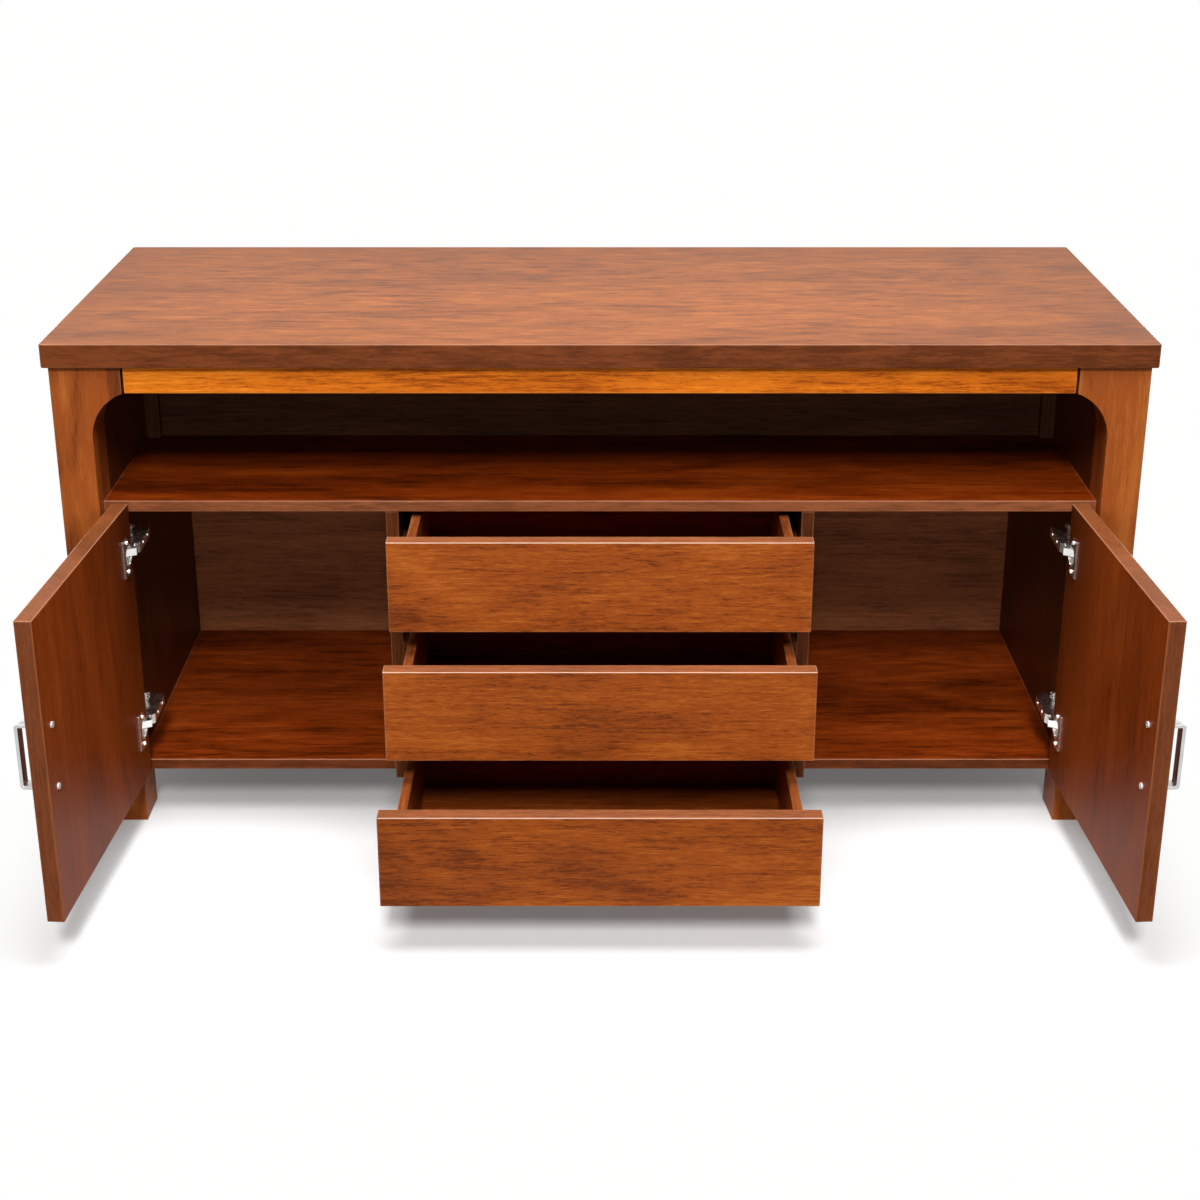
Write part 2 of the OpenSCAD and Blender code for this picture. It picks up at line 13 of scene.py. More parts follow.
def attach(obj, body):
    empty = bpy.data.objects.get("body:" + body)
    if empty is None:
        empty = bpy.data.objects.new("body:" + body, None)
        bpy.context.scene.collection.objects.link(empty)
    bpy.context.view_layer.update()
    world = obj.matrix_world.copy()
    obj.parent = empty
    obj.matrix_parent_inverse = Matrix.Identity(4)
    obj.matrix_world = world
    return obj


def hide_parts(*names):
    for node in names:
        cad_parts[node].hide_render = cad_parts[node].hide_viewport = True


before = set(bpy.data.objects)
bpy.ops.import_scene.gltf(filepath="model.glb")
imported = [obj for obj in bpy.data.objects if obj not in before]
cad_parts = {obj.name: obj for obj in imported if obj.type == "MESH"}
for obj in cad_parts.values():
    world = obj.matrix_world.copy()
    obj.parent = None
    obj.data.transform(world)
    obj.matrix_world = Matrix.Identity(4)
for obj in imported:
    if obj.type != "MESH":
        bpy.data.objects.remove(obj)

log = logging.getLogger("sideboard")
Colour = tuple[float, float, float]
Triple = tuple[float, float, float]
Span = tuple[float, float]
SIDES = ("left", "right")
# Two places closer than this, in metres, count as one.
TOUCH = 1e-5
# A face looks squarely along an axis when its normal has at least this share of it.
SQUARE = 0.9


class Grain(Enum):
    """The way that the fibres of a board run."""

    WIDE = "x"
    DEEP = "y"
    TALL = "z"


class Sock:
    """An output socket that takes part in Python expressions."""

    def __init__(self, shader: "Shader", link: bpy.types.NodeSocket | None) -> None:
        """Keeps the shader and the socket that the value comes from."""
        self.shader = shader
        self.link = link

    def _math(self, operation: str, first: Any, second: Any = 0.0) -> "Sock":
        """Adds one Math node."""
        return self.shader.node("ShaderNodeMath", {"operation": operation}, {0: first, 1: second})

    def __add__(self, other: Any) -> "Sock":
        """Sum."""
        return self._math("ADD", self, other)

    __radd__ = __add__

    def __sub__(self, other: Any) -> "Sock":
        """Difference."""
        return self._math("SUBTRACT", self, other)

    def __rsub__(self, other: Any) -> "Sock":
        """Difference, turned round."""
        return self._math("SUBTRACT", other, self)

    def __mul__(self, other: Any) -> "Sock":
        """Product."""
        return self._math("MULTIPLY", self, other)

    __rmul__ = __mul__

    def size(self) -> "Sock":
        """Value without its sign."""
        return self._math("ABSOLUTE", self)

    def least(self, other: Any) -> "Sock":
        """The lesser of two values."""
        return self._math("MINIMUM", self, other)

    def most(self, other: Any) -> "Sock":
        """The greater of two values."""
        return self._math("MAXIMUM", self, other)

    def ramp(self, low: float, high: float) -> "Sock":
        """Rises smoothly from 0 at low to 1 at high.

        Args:
            low: value at which the result is 0.
            high: value at which the result is 1.

        Returns:
            The eased value, held between 0 and 1.
        """
        settings = {"interpolation_type": "SMOOTHSTEP"}
        values = {"Value": self, "From Min": low, "From Max": high, "To Min": 0.0, "To Max": 1.0}
        return self.shader.node("ShaderNodeMapRange", settings, values)


class Shader:
    """One material and the nodes that make it."""

    def __init__(self, name: str, tree: bpy.types.NodeTree | None = None) -> None:
        """Starts an empty node tree, a new material's own unless one is given."""
        self.material = None
        if tree is None:
            self.material = bpy.data.materials.new(name)
            self.material.use_nodes = True
            tree = self.material.node_tree
        self.tree = tree
        self.tree.nodes.clear()

    def node(self, kind: str, settings: dict[str, Any] | None = None,
             values: dict[Any, Any] | None = None, out: int | str = 0) -> Sock:
        """Adds a node of any kind.

        Args:
            kind: the node's type.
            settings: properties that are set first, such as an operation.
            values: numbers, vectors or sockets for its inputs, by name or place.
            out: name or place of the output that is returned.

        Returns:
            The chosen output as a Sock.
        """
        made = self.tree.nodes.new(kind)
        for key, value in (settings or {}).items():
            setattr(made, key, value)
        for key, value in (values or {}).items():
            if isinstance(value, Sock):
                self.tree.links.new(value.link, made.inputs[key])
            else:
                made.inputs[key].default_value = value
        return Sock(self, made.outputs[out] if len(made.outputs) else None)

    def place(self, turn: float = 0.0) -> Sock:
        """Object coordinates, turned back about the upright axis.

        Args:
            turn: how far, in radians, the piece stands turned at rest.

        Returns:
            Coordinates along the piece's own directions.
        """
        coords = self.node("ShaderNodeTexCoord", out="Object")
        return self.node("ShaderNodeMapping", {"vector_type": "POINT"},
                         {"Vector": coords, "Rotation": (0.0, 0.0, -turn)})

    def scaled(self, vector: Sock, by: Triple, plus: Triple = (0.0, 0.0, 0.0)) -> Sock:
        """A vector stretched by three factors and moved."""
        values = {0: vector, 1: by, 2: plus}
        return self.node("ShaderNodeVectorMath", {"operation": "MULTIPLY_ADD"}, values)

    def noise(self, vector: Sock, detail: float = 3.0, rough: float = 0.55, distort: float = 0.0) -> Sock:
        """Noise of unit scale on a vector."""
        values = {"Vector": vector, "Scale": 1.0, "Detail": detail, "Roughness": rough, "Distortion": distort}
        return self.node("ShaderNodeTexNoise", {"noise_dimensions": "3D"}, values, "Fac")

    def mix(self, share: Any, first: Any, second: Any) -> Sock:
        """Mixes two colours.

        Args:
            share: how much of the second colour shows.
            first: colour or socket at a share of 0.
            second: colour or socket at a share of 1.

        Returns:
            The mixed colour.
        """
        first, second = (v if isinstance(v, Sock) else (*v, 1.0) for v in (first, second))
        settings = {"data_type": "RGBA", "blend_type": "MIX", "clamp_factor": True}
        return self.node("ShaderNodeMix", settings, {0: share, 6: first, 7: second}, 2)

    def split(self, vector: Sock) -> list[Sock]:
        """The three parts of a vector."""
        made = self.node("ShaderNodeSeparateXYZ", None, {0: vector})
        return [Sock(self, made.link.node.outputs[i]) for i in range(3)]

    def bump(self, height: Sock, strength: float, reach: float) -> Sock:
        """A bumped normal from a height."""
        return self.node("ShaderNodeBump", None, {"Strength": strength, "Distance": reach, "Height": height})

    def surface(self, values: dict[str, Any]) -> bpy.types.Material:
        """Ends the tree in one surface of wood or metal.

        Args:
            values: inputs of the surface, by name.

        Returns:
            The finished material.
        """
        made = self.node("ShaderNodeBsdfPrincipled", None, values)
        self.node("ShaderNodeOutputMaterial", None, {"Surface": made})
        return self.material


def board_box(piece: bpy.types.Object, turn: float = 0.0) -> tuple[Vector, Vector]:
    """Middle and half size of a piece's box.

    Args:
        piece: a mesh whose object sits at the origin.
        turn: how far the piece stands turned at rest, in radians.

    Returns:
        The middle and the half size, in coordinates turned back by that angle.
    """
    back = Matrix.Rotation(-turn, 3, "Z")
    points = [back @ v.co for v in piece.data.vertices]
    low = Vector(min(p[i] for p in points) for i in range(3))
    high = Vector(max(p[i] for p in points) for i in range(3))
    return (low + high) / 2, (high - low) / 2


def pick(piece: bpy.types.Object, kind: str, wanted: Callable[[Any], bool]) -> None:
    """Selects, in edit mode, only the faces or edges that a test picks out.

    Args:
        piece: the mesh being shaped.
        kind: FACE or EDGE.
        wanted: test on a face or an edge.
    """
    bpy.ops.mesh.select_mode(type=kind)
    bpy.ops.mesh.select_all(action="DESELECT")
    mesh = bmesh.from_edit_mesh(piece.data)
    for part in mesh.faces if kind == "FACE" else mesh.edges:
        if wanted(part):
            part.select_set(True)
    mesh.select_flush_mode()
    bmesh.update_edit_mesh(piece.data)


@dataclass(frozen=True)
class Layer:
    """One layer of a timber's figure: noise that is stretched along the grain."""

    run: float
    cross: float
    detail: float
    rough: float
    distort: float = 0.0


BANDS = Layer(1.5, 36.0, 3.0, 0.55, 0.25)
VEINS = Layer(13.0, 210.0, 4.0, 0.6, 0.5)
FIBRES = Layer(55.0, 520.0, 3.0, 0.72, 0.5)
PORES = Layer(40.0, 480.0, 2.0, 0.5)
STREAKS = Layer(13.0, 75.0, 4.0, 0.68, 0.4)
# Shares of a normal between which a face comes to look one way, and an arris to look up.
FACING = (0.8, 0.97)
CHAMFER = (0.3, 0.55)
# Noise between which a pore opens, and tones between which one colour gives way to the next.
PORE_OPENS = (0.62, 0.72)
DARK_TO_BODY = (0.05, 0.5)
BODY_TO_LIGHT = (0.5, 0.95)
SMOKE_FADES = (0.0, 0.2)
SECOND_TONE = (0.1, 0.9)


@dataclass(frozen=True)
class Board:
    """A board as its material sees it, in the board's own directions."""

    shader: Shader
    coords: Sock
    middle: Vector
    half: Vector
    grain: Grain

    @property
    def seed(self) -> Triple:
        """Where in the timber the board was cut, told by its place."""
        step, start, span = 37.7, 3.1, 9.0
        return tuple(round(math.fmod(abs(v) * step + start, span), 3) for v in self.middle)

    def grown(self, layer: Layer) -> Sock:
        """One layer of the timber's figure, its fibres along the grain.

        Args:
            layer: how the noise is stretched and how fine it is.

        Returns:
            Noise about 0.5.
        """
        stretch = tuple(layer.run if axis == self.grain.value else layer.cross for axis in "xyz")
        place = self.shader.scaled(self.coords, stretch, self.seed)
        return self.shader.noise(place, layer.detail, layer.rough, layer.distort)

    def from_middle(self) -> list[Sock]:
        """The three distances, with their signs, from the middle of the board."""
        return self.shader.split(self.shader.scaled(self.coords, (1.0, 1.0, 1.0), tuple(-self.middle)))

    def inwards(self) -> list[Sock]:
        """How deep a point lies behind the nearer face in each direction."""
        return [float(half) - aside.size() for half, aside in zip(self.half, self.from_middle())]


@dataclass(frozen=True)
class Figure:
    """The timber's tone, fibres and broad patches, each about 0.5, and its pores from 0 to 1."""

    tone: Sock
    fibre: Sock
    pore: Sock
    patch: Sock


@dataclass(frozen=True)
class WoodFinish:
    """A stained and lacquered timber.

    The first four colours are its stain, from dark to palest; the palest shows on the arrises,
    as rubbing and as a painted highlight. What follows them is how much each layer of the figure
    counts, how rough and glossy the lacquer is, and the colours of single faces: cap on top, which
    is painted sheen and top light, edge on faces that look to the front, and the painted shade by a
    door's hinges. Reaches are in metres.
    """

    name: str
    dark: Colour
    body: Colour
    light: Colour
    worn_and_highlight: Colour
    patch: float = 1.0
    blotch: float = 8.0
    band: float = 0.8
    vein: float = 1.3
    fibre: float = 1.1
    streak: float = 0.0
    pores: float = 0.4
    smoke: float = 0.25
    rim: float = 0.0
    wear_and_highlight: float = 0.4
    rough: float = 0.36
    gloss: float = 0.12
    sheen: float = 0.0
    chamfer_highlight: float = 0.3
    cap: Colour | None = None
    edge: Colour | None = None
    hinge_shade: Colour | None = None
    edge_span: Span = (0.7, 1.3)
    cap_span: Span = (0.7, 1.25)
    cap_share: float = 0.9
    inward_shade_share: float = 0.8
    hinge_shade_share: float = 0.75
    hinge_shade_reach: float = 0.2
    hinge_shade_at_foot: float = 0.5
    wear_and_highlight_reach: float = 0.0018
    wear_and_highlight_break: float = 0.002
    rim_reach: float = 0.16
    rim_break: float = 0.12
    rim_noise: Triple = (4.0, 6.0, 6.0)
    fibre_rough: float = 0.12
    tone_rough: float = 0.1
    coat_rough: float = 0.22
    fibre_height: float = 0.7
    pore_depth: float = 0.5
    relief: float = 0.25
    relief_depth: float = 0.0003

    @property
    def patches(self) -> Layer:
        """The broad patches, as wide across the grain as this timber has them."""
        return Layer(2.6, self.blotch, 2.0, 0.5, 1.2)

    def arris_wear_and_highlight(self, board: Board, tone: Sock) -> Sock:
        """Share of rubbing and of a painted highlight, greatest along the arrises of a board.

        Args:
            board: the board.
            tone: the timber's tone, which breaks the wear up along its length.

        Returns:
            1 on an arris, falling to 0 a few millimetres in.
        """
        near = board.inwards()
        second = near[0].least(near[1]).most(near[0].most(near[1]).least(near[2]))
        return 1.0 - (second - tone * self.wear_and_highlight_break).ramp(0.0, self.wear_and_highlight_reach)

    def to_rim(self, board: Board) -> Sock:
        """Share of darker colour near the rim of a flat board.

        Args:
            board: the board, lying flat.

        Returns:
            1 at the rim, falling to 0 a hand's width in.
        """
        across, deep, _ = board.inwards()
        noise = board.shader.noise(board.shader.scaled(board.coords, self.rim_noise))
        return 1.0 - (across.least(deep) + (noise - 0.5) * self.rim_break).ramp(0.0, self.rim_reach)

    def shade_by_hinges(self, board: Board, side: float) -> Sock:
        """Share of painted shade on a door, greatest by its hinges and at its head.

        Args:
            board: the door.
            side: 1 with the hinges on the right and -1 on the left.

        Returns:
            1 beside the hinges at the head, falling to 0 a hand's width away.
        """
        across, _, up = board.from_middle()
        near = float(board.half.x) - across * side
        height = up.ramp(-board.half.z, board.half.z)
        fall = height * (1.0 - self.hinge_shade_at_foot) + self.hinge_shade_at_foot
        return (1.0 - near.ramp(0.0, self.hinge_shade_reach)) * fall

    def figure(self, board: Board) -> Figure:
        """Grows the timber's figure on a board.

        Args:
            board: the board.

        Returns:
            What the stain and the relief follow.
        """
        patch, band, vein, fibre = (board.grown(each) for each in (self.patches, BANDS, VEINS, FIBRES))
        tone = (patch - 0.5) * self.patch + (band - 0.5) * self.band
        tone = tone + (vein - 0.5) * self.vein + (fibre - 0.5) * self.fibre + 0.5
        if self.streak:
            tone = tone + (board.grown(STREAKS) - 0.5) * self.streak
        return Figure(tone, fibre, board.grown(PORES).ramp(*PORE_OPENS), patch)

    def all_over(self, board: Board, figure: Figure) -> Sock:
        """The stain all over a board, before single faces get theirs.

        Args:
            board: the board.
            figure: the timber's figure.

        Returns:
            The board's colour.
        """
        shader = board.shader
        colour = shader.mix(figure.tone.ramp(*DARK_TO_BODY), self.dark, self.body)
        colour = shader.mix(figure.tone.ramp(*BODY_TO_LIGHT), colour, self.light)
        colour = shader.mix((0.5 - figure.patch).ramp(*SMOKE_FADES) * self.smoke, colour, self.dark)
        if self.rim:
            colour = shader.mix(self.to_rim(board) * self.rim, colour, self.dark)
        return shader.mix(figure.pore * self.pores, colour, self.dark)

    def face_tone(self, shader: Shader, tone: Sock, colour: Colour, span: Span) -> Sock:
        """The colour of a single face, which follows the timber's tone. On faces that look up
        it is painted sheen and top light.

        Args:
            shader: the material's nodes.
            tone: the timber's tone.
            colour: the stain's middle colour.
            span: shares of that colour in the darkest and the lightest places.

        Returns:
            The varied colour.
        """
        low, high = (tuple(share * v for v in colour) for share in span)
        return shader.mix(tone.ramp(*SECOND_TONE), low, high)

    def dress(self, piece: bpy.types.Object, grain: Grain, turn: float = 0.0, inward: int = 0) -> None:
        """Gives a board its wood.

        Args:
            piece: the board.
            grain: the way its fibres run.
            turn: how far it stands turned at rest, in radians.
            inward: 1 or -1 where the face that looks along +X or -X takes painted shade, the case's darkest
                colour.
        """
        shader = Shader(f"{self.name}_{piece.name}")
        board = Board(shader, shader.place(turn), *board_box(piece, turn), grain)
        figure = self.figure(board)
        colour = self.all_over(board, figure)
        sideways, facing, rising = shader.split(shader.node("ShaderNodeTexCoord", out="Normal"))
        upward = rising.ramp(*FACING)
        if self.edge:
            edge = self.face_tone(shader, figure.tone, self.edge, self.edge_span)
            colour = shader.mix((facing * -1.0).ramp(*FACING), colour, edge)
        # Painted shade on the face that looks into the case.
        if inward:
            inner = (sideways * float(inward)).ramp(*FACING)
            colour = shader.mix(inner * self.inward_shade_share, colour, CASE_STAIN.dark)
        # Painted shade: a door's inner face darkens towards its hinges, most at its head.
        if self.hinge_shade:
            side = math.copysign(1.0, turn)
            inner = (sideways * -side).ramp(*FACING)
            colour = shader.mix(self.shade_by_hinges(board, side) * inner * self.hinge_shade_share, colour, self.hinge_shade)
        # Painted sheen and top light: faces that look up take the cap colour.
        if self.cap:
            cap = self.face_tone(shader, figure.tone, self.cap, self.cap_span)
            colour = shader.mix(upward * self.cap_share, colour, cap)
        # Rubbing along the arrises, which also serves there as a painted highlight.
        colour = shader.mix(self.arris_wear_and_highlight(board, figure.tone) * self.wear_and_highlight, colour, self.worn_and_highlight)
        # Painted highlight: a pale colour on the chamfers that look up.
        if self.chamfer_highlight:
            chamfer = rising.ramp(*CHAMFER) * (1.0 - upward)
            colour = shader.mix(chamfer * self.chamfer_highlight, colour, CHAMFER_HIGHLIGHT)
        rough = (figure.fibre - 0.5) * self.fibre_rough + (figure.tone - 0.5) * self.tone_rough + self.rough
        height = figure.fibre * self.fibre_height - figure.pore * self.pore_depth
        values = {
            "Base Color": colour,
            "Roughness": rough,
            "Specular IOR Level": self.gloss,
            "Normal": shader.bump(height, self.relief, self.relief_depth),
        }
        if self.sheen:
            values["Coat Weight"] = upward * self.sheen
            values["Coat Roughness"] = self.coat_rough
        piece.data.materials.clear()
        piece.data.materials.append(shader.surface(values))


@dataclass(frozen=True)
class MetalFinish:
    """A plated or brushed metal."""

    name: str
    colour: Colour
    shade: Colour
    rough: float
    brushed: Triple = (60.0, 60.0, 60.0)
    relief: float = 0.1
    metal: float = 1.0
    smudged: Triple = (38.0, 38.0, 38.0)
    smudge_span: Span = (0.3, 0.75)
    smudge_rough: float = 0.2
    line_rough: float = 0.12
    relief_depth: float = 0.0002

    def dress(self, piece: bpy.types.Object) -> None:
        """Gives a piece its metal.

        Args:
            piece: the piece of hardware.
        """
        shader = Shader(f"{self.name}_{piece.name}")
        coords = shader.place()
        smudge = shader.noise(shader.scaled(coords, self.smudged), detail=4.0, rough=0.6)
        line = shader.noise(shader.scaled(coords, self.brushed), detail=3.0, rough=0.6)
        rough = (smudge - 0.5) * self.smudge_rough + (line - 0.5) * self.line_rough + self.rough
        values = {
            "Base Color": shader.mix(smudge.ramp(*self.smudge_span), self.colour, self.shade),
            "Metallic": self.metal,
            "Roughness": rough,
            "Normal": shader.bump(line, self.relief, self.relief_depth),
        }
        piece.data.materials.clear()
        piece.data.materials.append(shader.surface(values))


# The pale colour of a painted highlight on an eased arris that looks up.
CHAMFER_HIGHLIGHT = (0.66, 0.48, 0.38)
TOP_STAIN = WoodFinish("top_stain", (0.16, 0.048, 0.016), (0.305, 0.096, 0.030), (0.44, 0.145, 0.045),
                       (0.32, 0.12, 0.05), patch=0.9, band=0.3, vein=0.8, fibre=1.3, streak=2.0, pores=0.3,
                       wear_and_highlight=0.2, gloss=0.05, smoke=0.2, rim=0.2, edge=(0.15, 0.039, 0.0115))
LEG_STAIN = WoodFinish("leg_stain", (0.14, 0.032, 0.007), (0.335, 0.078, 0.014), (0.45, 0.13, 0.024),
                       (0.42, 0.16, 0.05), patch=1.5, blotch=14.0, band=0.3, vein=0.7, fibre=0.7, pores=0.2,
                       smoke=0.4, gloss=0.08)
RAIL_STAIN = WoodFinish("rail_stain", (0.32, 0.060, 0.005), (0.74, 0.180, 0.010), (0.92, 0.29, 0.022),
                        (0.7, 0.26, 0.05), patch=0.8, vein=1.4, pores=0.5, gloss=0.06)
SHELF_STAIN = WoodFinish("shelf_stain", (0.07, 0.009, 0.0008), (0.195, 0.026, 0.0016), (0.29, 0.048, 0.004),
                         (0.36, 0.13, 0.055), patch=1.1, streak=1.3, gloss=0.06, edge=(0.225, 0.07, 0.026))
FLOOR_STAIN = WoodFinish("floor_stain", (0.07, 0.0095, 0.001), (0.19, 0.027, 0.0025), (0.3, 0.05, 0.006),
                         (0.36, 0.13, 0.055), patch=1.1, streak=1.3, gloss=0.06, edge=(0.117, 0.0275, 0.007))
CASE_STAIN = WoodFinish("case_stain", (0.05, 0.014, 0.004), (0.105, 0.027, 0.007), (0.18, 0.05, 0.014),
                        (0.3, 0.11, 0.045), gloss=0.05)
PANEL_STAIN = WoodFinish("panel_stain", (0.12, 0.038, 0.016), (0.25, 0.082, 0.031), (0.36, 0.122, 0.045),
                         (0.3, 0.11, 0.04), patch=0.8, rough=0.5, gloss=0.05)
# The bay's back and cleats are much darker than the other backs: partly their stain, partly painted shade.
BAY_STAIN_AND_SHADE = WoodFinish("bay_stain_and_shade", (0.04, 0.016, 0.008), (0.068, 0.028, 0.014), (0.11, 0.046, 0.023),
                       (0.08, 0.03, 0.012), patch=0.8, rough=0.6, gloss=0.0, wear_and_highlight=0.15, chamfer_highlight=0.0)
# The fronts' cap colour is painted sheen and top light, and their pale chamfers a painted highlight.
FRONT_STAIN = WoodFinish("front_stain", (0.14, 0.030, 0.007), (0.34, 0.073, 0.0105), (0.48, 0.128, 0.018),
                         (0.46, 0.18, 0.07), patch=1.1, blotch=6.0, band=0.4, vein=1.3, fibre=1.8, pores=0.3,
                         gloss=0.08, sheen=0.2, chamfer_highlight=0.9, smoke=0.3, cap=(0.28, 0.092, 0.037))
DRAWER_STAIN = WoodFinish("drawer_stain", (0.12, 0.028, 0.007), (0.24, 0.06, 0.014), (0.36, 0.1, 0.026),
                          (0.4, 0.16, 0.07), gloss=0.06)
TRAY_STAIN = WoodFinish("tray_stain", (0.1, 0.019, 0.003), (0.22, 0.044, 0.006), (0.33, 0.075, 0.013),
                        (0.2, 0.07, 0.03), patch=0.8, gloss=0.04)
# The doors' cap colour is painted sheen and top light, and their darkening by the hinges painted shade.
DOOR_STAIN = WoodFinish("door_stain", (0.14, 0.024, 0.004), (0.28, 0.050, 0.0072), (0.40, 0.082, 0.013),
                        (0.42, 0.15, 0.055), patch=0.9, band=0.6, vein=0.9, gloss=0.03, smoke=0.2,
                        cap=(0.22, 0.07, 0.024), edge=(0.19, 0.054, 0.02), hinge_shade=(0.03, 0.005, 0.001))
NICKEL = MetalFinish("nickel", (0.95, 0.93, 0.90), (0.82, 0.80, 0.77), 0.27)
PLATE = MetalFinish("plate", (0.95, 0.94, 0.92), (0.82, 0.81, 0.79), 0.32, metal=0.35)
SATIN = MetalFinish("satin", (0.66, 0.66, 0.655), (0.56, 0.56, 0.555), 0.3, (900.0, 900.0, 12.0), 0.06)
ZINC = MetalFinish("zinc", (0.62, 0.62, 0.62), (0.5, 0.51, 0.52), 0.38, (600.0, 8.0, 600.0), 0.08)


@dataclass
class Carcass:
    """The fixed case: top, legs, rails, panels, shelf, floors and the hardware that stays put."""

    sides: tuple[str, ...] = SIDES

    def dress(self) -> None:
        """Stains every board of the case and plates its slides and screws."""
        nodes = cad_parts
        plan = {
            "top": (TOP_STAIN, Grain.WIDE), "front_rail": (RAIL_STAIN, Grain.WIDE),
            "rear_rail": (CASE_STAIN, Grain.WIDE), "shelf": (SHELF_STAIN, Grain.WIDE),
            "back_panel": (PANEL_STAIN, Grain.WIDE), "bay_back": (BAY_STAIN_AND_SHADE, Grain.WIDE),
            "corner_cleats": (BAY_STAIN_AND_SHADE, Grain.TALL), "slide_packers": (CASE_STAIN, Grain.DEEP),
        }
        for side in self.sides:
            plan[f"leg_front_{side}"] = plan[f"leg_rear_{side}"] = (LEG_STAIN, Grain.TALL)
            plan[f"lining_{side}"] = (CASE_STAIN, Grain.TALL)
            plan[f"divider_{side}"] = (CASE_STAIN, Grain.TALL)
            plan[f"floor_{side}"] = (FLOOR_STAIN, Grain.WIDE)
        for name, (finish, grain) in plan.items():
            finish.dress(nodes[name], grain)
            log.info("dressed %s", name)
        # Painted shade: the end panels' inner faces take the case's darkest colour.
        for side, inward in zip(self.sides, (1, -1)):
            LEG_STAIN.dress(nodes[f"end_panel_{side}"], Grain.TALL, inward=inward)
            log.info("dressed end_panel_%s", side)
        for name, finish in (("cabinet_slides", ZINC), ("plate_screws", NICKEL)):
            finish.dress(nodes[name])
            log.info("dressed %s", name)


@dataclass
class TopBoard:
    """The thick top, its corners rounded in plan and its arrises eased.

    The board is made a hair smaller than the solid that it replaces, so that rounding in the
    bevels can't take it past that solid's box.
    """

    corner: float = 0.0055
    corner_steps: int = 6
    ease: float = 0.0015
    ease_steps: int = 3
    within: float = 0.99998

    def build(self) -> bpy.types.Object:
        """Makes the top in the place of its plain board.

        Returns:
            The finished piece.
        """
        middle, half = board_box(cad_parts["top"])
        bpy.ops.object.select_all(action="DESELECT")
        bpy.ops.mesh.primitive_cube_add(size=2.0, location=middle, scale=half * self.within)
        piece = bpy.context.object
        piece.name = "top_board"
        bpy.ops.object.transform_apply(location=True, rotation=True, scale=True)
        bpy.ops.object.mode_set(mode="EDIT")
        pick(piece, "EDGE", lambda e: abs(e.verts[0].co.z - e.verts[1].co.z) > half.z)
        bpy.ops.mesh.bevel(offset=self.corner, segments=self.corner_steps)
        pick(piece, "EDGE", lambda e: all(abs(abs(v.co.z - middle.z) - half.z) < TOUCH for v in e.verts))
        bpy.ops.mesh.bevel(offset=self.ease, segments=self.ease_steps)
        bpy.ops.object.mode_set(mode="OBJECT")
        TOP_STAIN.dress(piece, Grain.WIDE)
        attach(piece, "cabinet")
        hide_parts("top")
        log.info("made %s", piece.name)
        return piece


@dataclass
class Drawer:
    """One drawer: front, box and slides."""

    number: int

    def dress(self) -> None:
        """Stains the boards and plates the slides."""
        plan = {
            "drawer_front": (FRONT_STAIN, Grain.WIDE), "drawer_sides": (DRAWER_STAIN, Grain.DEEP),
            "drawer_back": (TRAY_STAIN, Grain.WIDE), "drawer_tray": (TRAY_STAIN, Grain.WIDE),
        }
        for name, (finish, grain) in plan.items():
            finish.dress(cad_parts[f"{name}_{self.number}"], grain)
        for name in ("drawer_slides", "middle_slides"):
            ZINC.dress(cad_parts[f"{name}_{self.number}"])
        log.info("dressed drawer %d", self.number)


